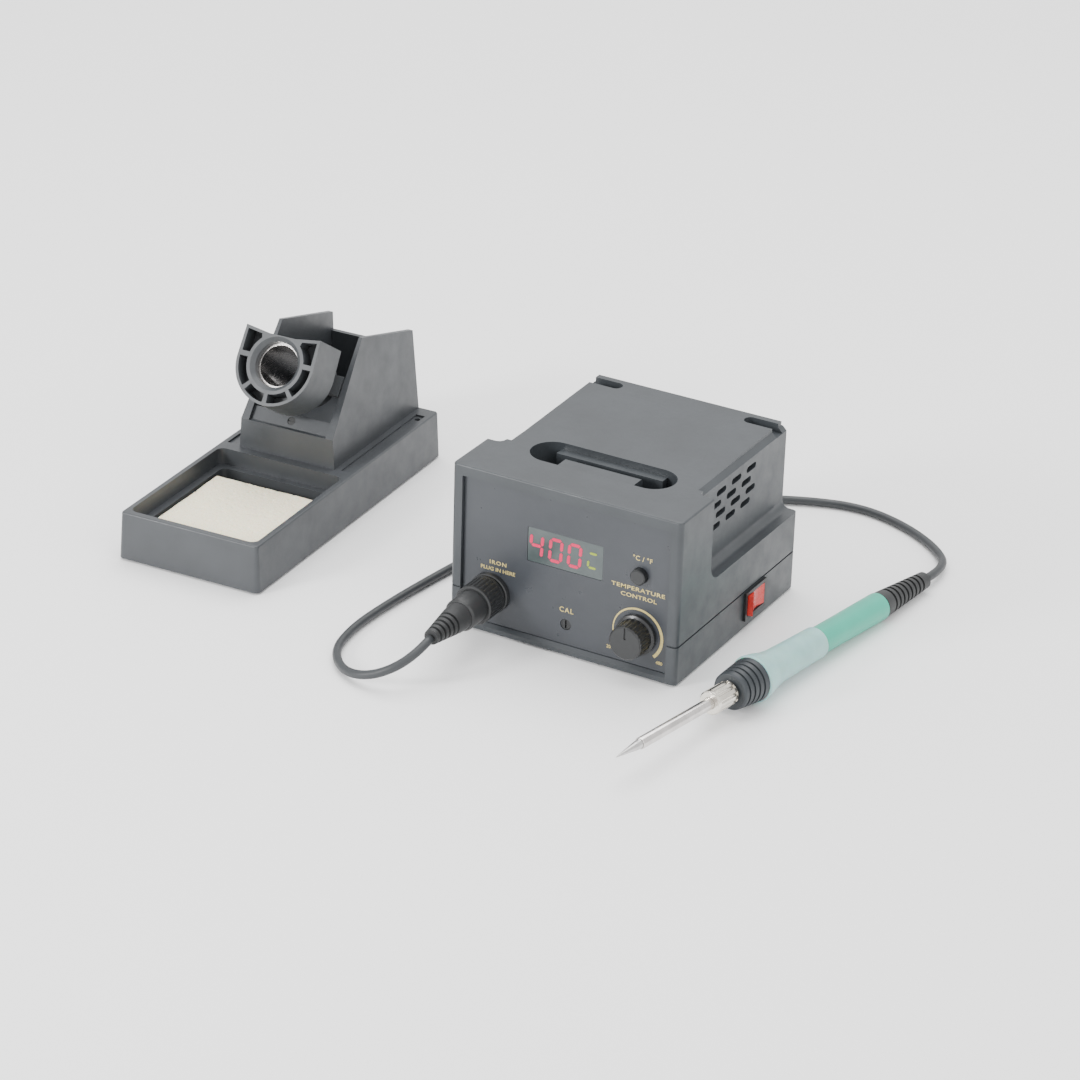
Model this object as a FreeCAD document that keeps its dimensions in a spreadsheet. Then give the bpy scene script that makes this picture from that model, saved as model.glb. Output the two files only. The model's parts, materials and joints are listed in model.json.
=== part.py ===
"""Soldering station: a temperature controlled station, its iron on a cord, and the iron's stand.

Millimetres, +Z up, +Y away from the user. The origin is on the table, under the middle of the set.
Each group is drawn about its own reference point and then placed: the station about the middle of its
footprint, the iron along +Y from its tip, the stand from the middle of its front edge, and the iron's
receptacle along +Y from the middle of its mouth.
"""

import FreeCAD, Part

import math
import os
import re

import Sketcher

Vector = FreeCAD.Vector
Rotation = FreeCAD.Rotation
Placement = FreeCAD.Placement

os.makedirs("parts", exist_ok=True)
doc = FreeCAD.newDocument("SolderingStation")

DIMENSIONS = {
    # Where the three groups stand on the table
    "station_x": 59.05, "station_y": 30.2,
    "stand_x": -189.3, "stand_y": -88.2, "stand_yaw": 2.5,
    "iron_x": 81.0, "iron_y": -155.6, "iron_z": 15.78, "iron_yaw": -7.6, "iron_tilt": -2.4,
    # Station housing
    "case_width": 120.0, "case_depth": 121.0, "case_height": 83.5, "case_wall": 2.5, "case_corner": 2.5,
    "case_top": 3.6, "front_wall": 4.5, "seam_height": 20.9, "seam_reveal": 0.7, "foot_height": 1.0,
    "band_depth": 31.0, "flank_recess": 8.3, "flank_floor": 41.0, "flank_corner": 8.0, "flank_cove": 4.0,
    "top_edge": 49.2, "top_rise": 2.0, "top_rise_start": -12.0, "pocket_depth": 2.6,
    "vent_length": 9.6, "vent_width": 3.0, "vent_pitch": 15.1, "vent_row": 5.45, "vent_shift": 4.7,
    "grip_length": 75.0, "grip_width": 22.5, "grip_depth": 14.5, "grip_middle": -25.5, "grip_bar": 40.0,
    "post_x": 46.0, "post_y": 50.0, "front_post_x": 52.0, "front_post_y": -38.0, "post_radius": 4.0, "screw_radius": 1.45,
    # Fascia and what it carries
    "panel_width": 109.0, "panel_bottom": 5.0, "panel_top": 78.0, "panel_recess": 2.0, "panel_thick": 2.5,
    "panel_gap": 0.2,
    "window_width": 39.4, "window_height": 17.2, "window_z": 51.6, "window_x": -0.5,
    "button_x": 38.8, "button_z": 51.2, "button_radius": 3.8, "button_travel": 1.0,
    "trimmer_x": 1.0, "trimmer_z": 15.4, "trimmer_radius": 2.6,
    "knob_x": 38.3, "knob_z": 21.1, "knob_radius": 8.4, "knob_skirt": 10.0, "knob_height": 12.0,
    "socket_x": -39.0, "socket_z": 21.2, "socket_radius": 7.8, "board_front": 11.1, "board_thick": 1.6,
    # Power switch, mains inlet and fuse
    "switch_y": 17.3, "switch_z": 12.5, "switch_length": 21.0, "switch_height": 14.6, "rocker_angle": 8.0,
    "inlet_x": -26.0, "inlet_z": 50.0, "inlet_width": 27.0, "inlet_height": 19.6,
    "fuse_x": 14.0, "fuse_z": 50.0, "fuse_radius": 5.9,
    # Transformer
    "core_width": 66.0, "core_height": 55.0, "core_stack": 30.0, "core_y": 8.0, "core_window": 11.0,
    # Iron, measured along its axis from the tip
    "barrel_start": 17.0, "nut_start": 70.5, "collar_start": 86.3, "sleeve_start": 103.2,
    "sleeve_end": 156.4, "handle_end": 210.0, "iron_length": 250.0, "barrel_radius": 2.75,
    "nut_radius": 5.8, "collar_radius": 10.7, "flare_radius": 11.4, "handle_radius": 6.9,
    "relief_radius": 6.5, "relief_end": 4.2,
    # Cord and plug
    "cord_radius": 2.1, "cord_length": 1200.0, "coil_x": -30.0, "coil_y": 103.0, "coil_inner": 18.9,
    "coil_outer": 27.3, "coil_height": 12.6, "coil_lift": 0.6, "plug_radius": 8.0, "ring_radius": 9.7,
    # Stand
    "stand_width": 78.4, "stand_length": 182.0, "stand_height": 25.2, "stand_draft": 2.9, "stand_corner": 3.0,
    "well_width": 70.0, "well_front": 4.5, "well_back": 88.0, "well_ledge": 16.5, "well_floor": 5.0,
    "sponge_width": 58.5, "sponge_front": 11.0, "sponge_back": 74.5, "sponge_top": 17.7,
    "holder_base": 54.0, "holder_top": 47.2, "holder_inner": 43.6, "holder_front": 93.5,
    "holder_lip": 41.0, "holder_peak_y": 126.5, "holder_peak": 83.0, "holder_rear_y": 177.0,
    "holder_rear": 68.5, "holder_foot_y": 180.0, "holder_back": 59.0,
    # Receptacle for the iron
    "cup_y": 82.0, "cup_z": 80.6, "cup_tilt": 33.0, "cup_radius": 21.2, "cup_length": 24.0,
    "cup_bore": 11.4, "cup_mouth": 13.5, "cup_web": 15.3, "cup_rim": 19.7, "boss_radius": 13.0,
    "boss_end": 45.0, "liner_radius": 10.2, "tilt_axis": 38.0, "tilt_pin": 2.5,
}

sheet = doc.addObject("Spreadsheet::Sheet", "Sizes")
for row, (name, size) in enumerate(DIMENSIONS.items(), start=1):
    sheet.set(f"A{row}", name)
    sheet.set(f"B{row}", str(size))
    sheet.setAlias(f"B{row}", name)
doc.recompute()

ALIAS = re.compile(r"\b(" + "|".join(DIMENSIONS) + r")\b")
NODES = {}


# ---------------------------------------------------------------- small tools

def full(text):
    """An expression in which each bare alias reads its cell of the sheet."""
    return ALIAS.sub(r"Sizes.\1", str(text))


def value(text):
    """The number that an expression gives."""
    return float(sheet.evalExpression(full(text)))


def bind(thing, **paths):
    for path, text in paths.items():
        thing.setExpression(path.replace("__", "."), full(text))


def place(thing, x="0", y="0", z="0", turn=Rotation()):
    """Puts a drawn object at a point given by expressions, turned by a fixed rotation."""
    thing.Placement = Placement(Vector(value(x), value(y), value(z)), turn)
    bind(thing, Placement__Base__x=x, Placement__Base__y=y, Placement__Base__z=z)
    return thing


def new_body():
    return doc.addObject("PartDesign::Body", "Body")


def sketch_on(body, role, lift="0"):
    """An empty sketch on one of the body's origin planes, lifted along the plane's normal."""
    sketch = body.newObject("Sketcher::SketchObject", "Sketch")
    plane = next(item for item in body.Origin.OriginFeatures if item.Role == role)
    sketch.AttachmentSupport = (plane, [""])
    sketch.MapMode = "FlatFace"
    bind(sketch, AttachmentOffset__Base__z=lift)
    return sketch


def hold(sketch, kind, geometry, text, point=None):
    """A dimension on a sketch, bound to an expression. A point is held from the sketch's origin."""
    if point is None:
        constraint = Sketcher.Constraint(kind, geometry, value(text))
    else:
        constraint = Sketcher.Constraint(kind, -1, 1, geometry, point, value(text))
    index = sketch.addConstraint(constraint)
    sketch.setExpression(f"Constraints[{index}]", full(text))


def arc_through(start, end, radius):
    """The short arc from start to end. It bulges to the right of travel, or to the left if negative."""
    chord = end - start
    side = Vector(chord.y, -chord.x, 0).normalize() * math.copysign(1, radius)
    rise = abs(radius) - math.sqrt(radius**2 - (chord.Length / 2) ** 2)
    middle = (start + end) * 0.5 + side * rise
    return Part.Arc(start, middle, end) if radius > 0 else Part.Arc(end, middle, start)


def outline(body, role, corners, lift="0"):
    """A closed outline. A corner is (x, y), or (x, y, radius) if an arc leads to the next corner."""
    sketch = sketch_on(body, role, lift)
    points = [Vector(value(corner[0]), value(corner[1]), 0) for corner in corners]
    for index, corner in enumerate(corners):
        start, end = points[index], points[(index + 1) % len(points)]
        if len(corner) == 3:
            sketch.addGeometry(arc_through(start, end, value(corner[2])), False)
        else:
            sketch.addGeometry(Part.LineSegment(start, end), False)
    first = [arc_start(sketch.Geometry[index], points[index]) for index in range(len(points))]
    for index in range(len(points)):
        after = (index + 1) % len(points)
        pair = (index, 3 - first[index], after, first[after])
        sketch.addConstraint(Sketcher.Constraint("Coincident", *pair))
    for index, corner in enumerate(corners):
        hold(sketch, "DistanceX", index, corner[0], first[index])
        hold(sketch, "DistanceY", index, corner[1], first[index])
        if len(corner) == 3:
            hold(sketch, "Radius", index, f"abs({corner[2]})")
    return sketch


def arc_start(edge, point):
    """Which end of a sketch edge, 1 or 2, lies at the point: an arc may be stored the other way round."""
    start = edge.StartPoint if hasattr(edge, "StartPoint") else edge.value(edge.FirstParameter)
    return 1 if start.distanceToPoint(point) < 1e-4 else 2


def rectangle(body, role, left, right, low, high, lift="0"):
    return outline(body, role, [(left, low), (right, low), (right, high), (left, high)], lift)


def rounded(body, role, left, right, low, high, radius, lift="0"):
    """A rectangle with round corners, drawn counter-clockwise."""
    corners = [
        (f"{left} + {radius}", low), (f"{right} - ({radius})", low, radius),
        (right, f"{low} + {radius}"), (right, f"{high} - ({radius})", radius),
        (f"{right} - ({radius})", high), (f"{left} + {radius}", high, radius),
        (left, f"{high} - ({radius})"), (left, f"{low} + {radius}", radius),
    ]
    return outline(body, role, corners, lift)


def circles(body, role, centres, radius, lift="0"):
    sketch = sketch_on(body, role, lift)
    for index, (x, y) in enumerate(centres):
        centre = Vector(value(x), value(y), 0)
        sketch.addGeometry(Part.Circle(centre, Vector(0, 0, 1), value(radius)), False)
        hold(sketch, "DistanceX", index, x, 3)
        hold(sketch, "DistanceY", index, y, 3)
        hold(sketch, "Radius", index, radius)
    return sketch


def feature(body, kind, sketch, **sizes):
    thing = body.newObject(f"PartDesign::{kind}", kind)
    thing.Profile = sketch
    bind(thing, **sizes)
    return thing


def pad(body, sketch, length, back=False):
    """Adds material from the sketch along its plane's normal, or against it if back."""
    thing = feature(body, "Pad", sketch, Length=length)
    thing.Reversed = back
    return thing


def pocket(body, sketch, length, back=True):
    """Removes material from the sketch along its plane's normal, or against it if not back."""
    doc.recompute()
    before = body.Shape.Volume
    thing = feature(body, "Pocket", sketch, Length=length)
    thing.Reversed = back
    doc.recompute()
    if not body.Shape.Volume < before - 0.01:
        raise RuntimeError(f"{sketch.Name}: the pocket removed nothing")
    return thing


def turned(corners):
    """A body turned about its own Y axis; the corners are (distance along Y, radius)."""
    body = new_body()
    sketch = outline(body, "YZ_Plane", corners)
    thing = feature(body, "Revolution", sketch)
    thing.ReferenceAxis = (sketch, ["H_Axis"])
    thing.Angle = 360
    return body


def around(body, originals, count):
    """Repeats features in equal steps about the body's own Y axis."""
    pattern = body.newObject("PartDesign::PolarPattern", "Around")
    pattern.Originals = originals
    axis = next(item for item in body.Origin.OriginFeatures if item.Role == "Y_Axis")
    pattern.Axis = (axis, [""])
    pattern.Angle = 360
    pattern.Occurrences = count
    body.Tip = pattern
    return pattern


def rounded_edges(body, test, radius, kind="Fillet"):
    """Rounds or chamfers the body's edges whose middle point passes the test."""
    doc.recompute()
    tip = body.Tip
    names = []
    for index, edge in enumerate(tip.Shape.Edges, start=1):
        middle = edge.valueAt((edge.FirstParameter + edge.LastParameter) / 2)
        if test(middle):
            names.append(f"Edge{index}")
    thing = body.newObject(f"PartDesign::{kind}", kind)
    thing.Base = (tip, names)
    bind(thing, **{"Radius" if kind == "Fillet" else "Size": radius})
    return thing


def block(length, width, height, x="0", y="0", z="0"):
    """A box from its lowest corner."""
    thing = doc.addObject("Part::Box", "Block")
    bind(thing, Length=length, Width=width, Height=height)
    return place(thing, x, y, z)


ALONG_Y = Rotation(Vector(1, 0, 0), -90)
ALONG_X = Rotation(Vector(0, 1, 0), 90)


def rod(radius, length, x="0", y="0", z="0", turn=Rotation()):
    """A round rod from the middle of its end, along Z unless it is turned."""
    thing = doc.addObject("Part::Cylinder", "Rod")
    bind(thing, Radius=radius, Height=length)
    return place(thing, x, y, z, turn)


def union(*things):
    fused = doc.addObject("Part::MultiFuse", "Union")
    fused.Shapes = list(things)
    return fused


def minus(base, *tools):
    cut = doc.addObject("Part::Cut", "Cut")
    cut.Base = base
    cut.Tool = tools[0] if len(tools) == 1 else union(*tools)
    return cut


def together(*things):
    """Separate solids that share one node."""
    group = doc.addObject("Part::Compound", "Group")
    group.Links = list(things)
    return group


def carried(thing, x="0", y="0", z="0", turn=Rotation()):
    """A group of one, so that a drawn object can be placed again inside its own group."""
    return place(together(thing), x, y, z, turn)


def frame(x, y, z="0", turn=Rotation()):
    """Where a group stands: expressions for its reference point, and how it is turned."""
    return (x, y, z), turn


def node(name, thing, group):
    """Names a finished sub-part and stands it in its group's place."""
    point, turn = group
    if thing.ExpressionEngine or not thing.Placement.isIdentity():
        thing = together(thing)
    place(thing, *point, turn)
    thing.Label = name
    NODES[name] = thing


STATION = frame("station_x", "station_y")
STAND = frame("station_x + stand_x", "station_y + stand_y", "0", Rotation(value("stand_yaw"), 0, 0))
IRON = frame(
    "station_x + iron_x", "station_y + iron_y", "iron_z", Rotation(value("iron_yaw"), 0, value("iron_tilt"))
)
CUP = frame(
    "station_x + stand_x - cup_y * sin(stand_yaw)", "station_y + stand_y + cup_y * cos(stand_yaw)",
    "cup_z", Rotation(value("stand_yaw"), 0, -value("cup_tilt")),
)
FRONT = "(-case_depth / 2)"
PANEL_FACE = "(-case_depth / 2 + panel_recess)"
PANEL_BACK = "(-case_depth / 2 + panel_recess + panel_thick)"
BOARD = "(-case_depth / 2 + board_front)"
POSTS = [
    ("-front_post_x", "front_post_y"), ("front_post_x", "front_post_y"), ("-post_x", "post_y"), ("post_x", "post_y"),
]


# ---------------------------------------------------------------- station housing

def upper_housing():
    body = new_body()
    half = "case_width / 2"
    deep = "case_depth / 2"
    shell = rounded(body, "XY_Plane", f"-{half}", half, f"-{deep}", deep, "case_corner", "seam_height")
    pad(body, shell, "case_height - seam_height")
    top = value("case_height")
    rounded_edges(body, lambda point: abs(point.z - top) < 0.01, "1.0")
    flank_recesses(body)
    sloped_top(body)
    hollow(body)
    carry_grip(body)
    rear_pockets(body)
    vents(body)
    opening = rectangle(
        body, "XZ_Plane", "-panel_width / 2", "panel_width / 2", "seam_height - 1", "panel_top",
        "case_depth / 2 + 1",
    )
    pocket(body, opening, "front_wall + 1.5", back=False)
    rear_openings(body)
    screw_posts(body, "seam_height", "case_height - case_top - seam_height + 0.5", "screw_radius + 0.05")
    return body


def flank_recesses(body):
    """The vented walls stand in from the sides, behind the full width front band."""
    front = f"{FRONT} + band_depth"
    rear = "case_depth / 2 + 2"
    over = "case_height + 1"
    for side in (-1, 1):
        corners = [
            (front, over), (front, "flank_floor + flank_corner", "flank_corner"),
            (f"{front} + flank_corner", "flank_floor"), (rear, "flank_floor"), (rear, over),
        ]
        wall = f"{side} * (case_width / 2 - flank_recess)"
        pocket(body, outline(body, "YZ_Plane", corners, wall), "flank_recess + 1", back=side > 0)
    inset = value("case_width / 2 - flank_recess")
    floor = value("flank_floor")
    limit = value(f"{FRONT} + band_depth + flank_corner")
    foot = lambda point: (
        abs(abs(point.x) - inset) < 0.01 and point.z < floor + value("flank_corner") * 0.6
        and (abs(point.z - floor) < 0.01 or point.y < limit)
    )
    rounded_edges(body, foot, "flank_cove")


def hollow(body):
    """The inside: wide below the flank recesses and in the front band, narrow between them."""
    wide = "case_width / 2 - case_wall"
    narrow = "case_width / 2 - flank_recess - case_wall"
    front = f"{FRONT} + front_wall"
    rear = "case_depth / 2 - case_wall"
    ceiling = "case_height - case_top"
    low = rectangle(body, "XY_Plane", f"-({wide})", wide, front, rear, "seam_height")
    pocket(body, low, "flank_floor - case_wall - seam_height - 2")
    high = rectangle(body, "XY_Plane", f"-({narrow})", narrow, front, rear, "seam_height")
    pocket(body, high, f"{ceiling} - seam_height")
    band = rectangle(
        body, "XY_Plane", f"-({wide})", wide, front, f"{FRONT} + band_depth - case_wall", "seam_height"
    )
    pocket(body, band, f"{ceiling} - seam_height")


def stadium(body, length, width, x, y, lift):
    """A slot with round ends, along X."""
    half = f"({length} - {width}) / 2"
    radius = f"{width} / 2"
    corners = [
        (f"{x} - {half}", f"{y} - {radius}"), (f"{x} + {half}", f"{y} - {radius}", f"{radius} + 0.0005"),
        (f"{x} + {half}", f"{y} + {radius}"), (f"{x} - {half}", f"{y} + {radius}", f"{radius} + 0.0005"),
    ]
    return outline(body, "XY_Plane", corners, lift)


def carry_grip(body):
    """A finger recess in the top with a bar across its middle and a ledge along its far side."""
    wall = "2 * 2"
    cup_top = "case_height - case_top + 0.5"
    bottom = "case_height - grip_depth"
    outer = stadium(body, f"grip_length + {wall}", f"grip_width + {wall}", "0", "grip_middle", cup_top)
    pad(body, outer, f"{cup_top} - ({bottom}) + 2", back=True)
    inner = stadium(body, "grip_length", "grip_width", "0", "grip_middle", "case_height")
    pocket(body, inner, "grip_depth", back=False)
    near = "grip_middle - grip_width / 2 - 0.5"
    bar = rectangle(body, "XY_Plane", "-grip_bar / 2", "grip_bar / 2", near, "grip_middle + 1.5", bottom)
    pad(body, bar, "grip_depth - 2.2")
    far = "grip_middle + grip_width / 2 + 0.5"
    ledge = rectangle(body, "XY_Plane", "-28", "28", "grip_middle + 6", far, bottom)
    pad(body, ledge, "grip_depth - 3.4")
    top = value(bottom) + value("grip_depth") - 2.2
    bar_edge = lambda point: abs(point.z - top) < 0.01 and abs(point.x) < 0.1 and point.y > value("grip_middle")
    rounded_edges(body, bar_edge, "1.6")


def sloped_top(body):
    """The top rises a little towards the rear, and slopes down to each recessed flank."""
    rear = "case_depth / 2 - 1"
    rise = [
        ("top_rise_start", "case_height - 0.2"), (rear, "case_height - 0.2"), (rear, "case_height + top_rise"),
        ("top_rise_start", "case_height"),
    ]
    pad(body, outline(body, "YZ_Plane", rise, "-top_edge"), "2 * top_edge")
    for side in (-1, 1):
        corners = [
            (f"{side} * top_edge", "case_height"), (f"{side} * (top_edge + 6)", "case_height - 6"),
            (f"{side} * (top_edge + 6)", "case_height + 1"), (f"{side} * top_edge", "case_height + 1"),
        ]
        slope = outline(body, "XZ_Plane", corners, "-case_depth / 2 - 1")
        pocket(body, slope, "case_depth + 1 - band_depth - 4.5")


def rear_pockets(body):
    """A shallow pocket at each rear corner of the top, open to the side."""
    over = "case_height + top_rise + 1"
    for side in (-1, 1):
        well = stadium(body, "30", "6.4", f"{side} * 48", "case_depth / 2 - 7.5", over)
        pocket(body, well, "pocket_depth + top_rise + 1", back=False)


def vents(body):
    """Four staggered rows of three vents through each flank wall."""
    for row in range(4):
        for column in (-1, 0, 1):
            middle = f"9.2 + {column} * vent_pitch - {row % 2} * vent_shift"
            height = f"76 - {row} * vent_row"
            half = "vent_width / 2"
            straight = "(vent_length - vent_width) / 2"
            corners = [
                (f"{middle} - {straight}", f"{height} - {half}"),
                (f"{middle} + {straight}", f"{height} - {half}", f"{half} + 0.0005"),
                (f"{middle} + {straight}", f"{height} + {half}"),
                (f"{middle} - {straight}", f"{height} + {half}", f"{half} + 0.0005"),
            ]
            slot = outline(body, "YZ_Plane", corners, "-case_width / 2")
            pocket(body, slot, "case_width")


def rear_openings(body):
    """Holes in the rear wall for the mains inlet and the fuse holder."""
    half_width = "inlet_width / 2 + 0.2"
    half_height = "inlet_height / 2 + 0.2"
    inlet = rectangle(
        body, "XZ_Plane", f"inlet_x - ({half_width})", f"inlet_x + {half_width}",
        f"inlet_z - ({half_height})", f"inlet_z + {half_height}", "-case_depth / 2 - 1",
    )
    pocket(body, inlet, "case_wall + 2")
    fuse = circles(body, "XZ_Plane", [("fuse_x", "fuse_z")], "fuse_radius + 0.2", "-case_depth / 2 - 1")
    pocket(body, fuse, "case_wall + 2")


def screw_posts(body, bottom, height, hole):
    posts = circles(body, "XY_Plane", POSTS, "post_radius", bottom)
    pad(body, posts, height)
    holes = circles(body, "XY_Plane", POSTS, hole, bottom)
    pocket(body, holes, "14")


def base_housing():
    body = new_body()
    half = "case_width / 2"
    deep = "case_depth / 2"
    tray = rounded(body, "XY_Plane", f"-{half}", half, f"-{deep}", deep, "case_corner", "foot_height")
    pad(body, tray, "seam_height - foot_height - 0.9")
    inset = "seam_reveal"
    rim = rounded(
        body, "XY_Plane", f"-{half} + {inset}", f"{half} - {inset}", f"-{deep} + {inset}",
        f"{deep} - {inset}", f"case_corner - {inset}", "seam_height - 0.9",
    )
    pad(body, rim, "0.9")
    inner = rectangle(
        body, "XY_Plane", f"-({half} - case_wall)", f"{half} - case_wall", f"{FRONT} + front_wall",
        f"{deep} - case_wall", "foot_height + case_wall",
    )
    pocket(body, inner, "seam_height")
    opening = rectangle(
        body, "XZ_Plane", "-panel_width / 2", "panel_width / 2", "panel_bottom", "seam_height + 1",
        f"{deep} + 1",
    )
    pocket(body, opening, "front_wall + 1.5", back=False)
    lip = lambda point: abs(point.z - value("panel_bottom")) < 0.01 and abs(point.y + value(deep)) < 0.01
    rounded_edges(body, lip, "1.6", "Chamfer")
    screw_posts(body, "foot_height", "seam_height - foot_height", "screw_radius + 0.2")
    bores = circles(body, "XY_Plane", POSTS, "screw_radius + 0.2", "foot_height")
    pocket(body, bores, "seam_height")
    heads = circles(body, "XY_Plane", POSTS, "3.1", "foot_height")
    pocket(body, heads, "6")
    feet = circles(body, "XY_Plane", FEET, "5.1", "foot_height")
    pocket(body, feet, "1")
    switch = rectangle(
        body, "YZ_Plane", "switch_y - switch_length / 2 + 1", "switch_y + switch_length / 2 - 1",
        "switch_z - switch_height / 2 + 1", "switch_z + switch_height / 2 - 1", f"{half} - case_wall - 1",
    )
    pocket(body, switch, "case_wall + 2")
    pilots = circles(body, "XY_Plane", [(x, f"{y} + core_y") for x, y in STRAP_HOLES], "1.55", FLOOR)
    pocket(body, pilots, "1.8", back=False)
    return body


FLOOR = "foot_height + case_wall"
STRAP_HOLES = [("-39.5", "0"), ("39.5", "0")]
FEET = [(f"{sx} * (case_width / 2 - 24)", f"{sy} * (case_depth / 2 - 10)") for sx in (-1, 1) for sy in (-1, 1)]


def small_screws(places, radius, length, head, bottom):
    """Pan head screws that stand on their heads."""
    screws = []
    for x, y in places:
        shank = rod(radius, f"{length} - 2", x, y, f"{bottom} + 2")
        screws.append(union(rod(head, "2", x, y, bottom), shank))
    return together(*screws)


def feet(places, radius, height):
    return together(*[rod(radius, height, x, y, "0") for x, y in places])


node("upper_housing", upper_housing(), STATION)
node("base_housing", base_housing(), STATION)
node("case_screws", small_screws(POSTS, "screw_radius", "26", "2.9", "foot_height + 4"), STATION)
node("station_feet", feet(FEET, "5", "foot_height + 1"), STATION)


# ---------------------------------------------------------------- fascia

def front_panel():
    body = new_body()
    half = "panel_width / 2 - panel_gap"
    plate = rectangle(
        body, "XZ_Plane", f"-({half})", half, "panel_bottom + panel_gap", "panel_top - panel_gap",
        f"-{PANEL_BACK}",
    )
    pad(body, plate, "panel_thick")
    window = rounded(
        body, "XZ_Plane", "window_x - window_width / 2 - 0.15", "window_x + window_width / 2 + 0.15",
        "window_z - window_height / 2 - 0.15", "window_z + window_height / 2 + 0.15", "0.8",
        f"-{PANEL_BACK}",
    )
    pocket(body, window, "panel_thick")
    round_holes = [
        ("button_x", "button_z", "button_radius + 0.2"), ("trimmer_x", "trimmer_z", "trimmer_radius + 0.2"),
        ("knob_x", "knob_z", "3.6"), ("socket_x", "socket_z", "socket_radius + 0.2"),
    ]
    for x, z, radius in round_holes:
        pocket(body, circles(body, "XZ_Plane", [(x, z)], radius, f"-{PANEL_BACK}"), "panel_thick")
    bosses = circles(body, "XZ_Plane", BOARD_HOLES, "2.4", f"-{PANEL_BACK}")
    pad(body, bosses, f"{BOARD} - {PANEL_BACK}", back=True)
    pilots = circles(body, "XZ_Plane", BOARD_HOLES, "1.1", f"-{BOARD}")
    pocket(body, pilots, "5")
    for side in (-1, 1):
        near, far = sorted([f"{side} * 52.5", f"{side} * 56"], key=value)
        for low in ("28", "62"):
            clip = rectangle(body, "XZ_Plane", near, far, low, f"{low} + 6", f"-{PANEL_BACK}")
            pad(body, clip, "1.4", back=True)
    return body


BOARD_HOLES = [("-23", "14"), ("-23", "66"), ("50.5", "14"), ("50.5", "66")]


def panel_item(name, thing, x, z, y=PANEL_FACE):
    """Stands a turned piece, drawn outwards along -Y from the panel's face, on the panel."""
    node(name, place(thing, x, y, z), STATION)


def temperature_knob():
    body = turned([
        ("-0.4", "3.15"), ("-0.4", "knob_skirt"), ("-2.2", "knob_skirt"), ("-2.8", "knob_radius + 0.4"),
        ("-knob_height + 0.8", "knob_radius"), ("-knob_height", "knob_radius - 0.8"),
        ("-knob_height", "0"), ("-knob_height + 1.8", "0"), ("-knob_height + 1.8", "3.15"),
    ])
    flute = circles(body, "XZ_Plane", [("0", "knob_radius + 0.9")], "1.1", "2.8")
    around(body, [pocket(body, flute, "knob_height")], 20)
    pointer = rectangle(body, "XZ_Plane", "-0.55", "0.55", "2.2", "knob_radius + 1", "knob_height - 0.5")
    pocket(body, pointer, "1")
    return body


node("front_panel", front_panel(), STATION)

window = new_body()
glass = rounded(
    window, "XZ_Plane", "window_x - window_width / 2", "window_x + window_width / 2",
    "window_z - window_height / 2", "window_z + window_height / 2", "0.65", f"-{PANEL_FACE} - 0.2",
)
pad(window, glass, "1.5", back=True)
node("display_window", window, STATION)
module = block(
    "window_width - 1.6", f"{BOARD} - {PANEL_FACE} - 2.1", "window_height - 0.8",
    "window_x - window_width / 2 + 0.8", f"{PANEL_FACE} + 2", "window_z - window_height / 2 + 0.4",
)
node("display_module", module, STATION)
holes = [rod("1.3", "6", x, f"{BOARD} - 2", z, ALONG_Y) for x, z in BOARD_HOLES]
node("control_board", minus(block("82", "board_thick", "61", "-27", BOARD, "10"), *holes), STATION)

knob = temperature_knob()
knob_turned = place(carried(knob), turn=Rotation(Vector(0, 1, 0), 40))
panel_item("temperature_knob", knob_turned, "knob_x", "knob_z")
shaft = turned([("-knob_height + 2.2", "0"), ("-knob_height + 2.2", "3.1"), ("3.4", "3.1"), ("3.4", "0")])
panel_item("potentiometer_shaft", shaft, "knob_x", "knob_z")
bushing = turned([
    ("0.2", "3.2"), ("0.2", "3.5"), ("panel_thick", "3.5"), ("panel_thick + 0.1", "8"), ("9", "8"),
    ("9", "0"), ("3.6", "0"), ("3.6", "3.2"),
])
panel_item("potentiometer_body", bushing, "knob_x", "knob_z")
button = turned([
    ("-3.4", "0"), ("-3.4", "button_radius - 0.5"), ("-2.9", "button_radius"), ("panel_thick + 0.2", "button_radius"),
    ("panel_thick + 0.2", "5"), ("panel_thick + 1", "5"), ("panel_thick + 1", "2"), ("5.4", "2"), ("5.4", "0"),
])
panel_item("unit_button", button, "button_x", "button_z")
contact = carried(block("6", "2.4", "6", "-3", f"{BOARD} - {PANEL_FACE} - 2.4", "-3"))
panel_item("unit_contact", contact, "button_x", "button_z")
rotor = minus(
    turned([("0.3", "0"), ("0.3", "trimmer_radius"), ("4", "trimmer_radius"), ("4", "0")]),
    block("0.8", "1.2", "4.2", "-0.4", "0", "-2.1"),
)
panel_item("trimmer_rotor", rotor, "trimmer_x", "trimmer_z")
trimmer = block("7", f"{BOARD} - {PANEL_FACE} - 4.2", "7", "-3.5", "4.1", "-3.5")
panel_item("trimmer_body", carried(trimmer), "trimmer_x", "trimmer_z")


# ---------------------------------------------------------------- iron socket and plug

PIN_CIRCLE = 4.2
PINS = [(PIN_CIRCLE * math.cos(turn), PIN_CIRCLE * math.sin(turn)) for turn in
        [math.radians(30 + 60 * step) for step in range(5)]]


def iron_socket():
    shell = turned([
        ("-8.5", "0"), ("-8.5", "6.6"), ("-8.1", "7"), ("-3", "7"), ("-3", "9.6"), ("-2.5", "10.1"),
        ("0", "10.1"), ("0", "socket_radius"), ("12", "socket_radius"), ("12", "0"),
    ])
    return minus(shell, *[rod("0.95", "7", x, "-9", z, ALONG_Y) for x, z in PINS])


def lock_nut():
    body = new_body()
    radius = 11.4
    corners = []
    for step in range(6):
        turn = math.radians(60 * step)
        corners.append((f"{radius * math.cos(turn):.4f}", f"{radius * math.sin(turn):.4f}"))
    pad(body, outline(body, "XZ_Plane", corners, "-panel_thick - 2.7"), "2.6")
    pocket(body, circles(body, "XZ_Plane", [("0", "0")], "socket_radius + 0.05", "-panel_thick - 3"), "4")
    return body


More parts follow.
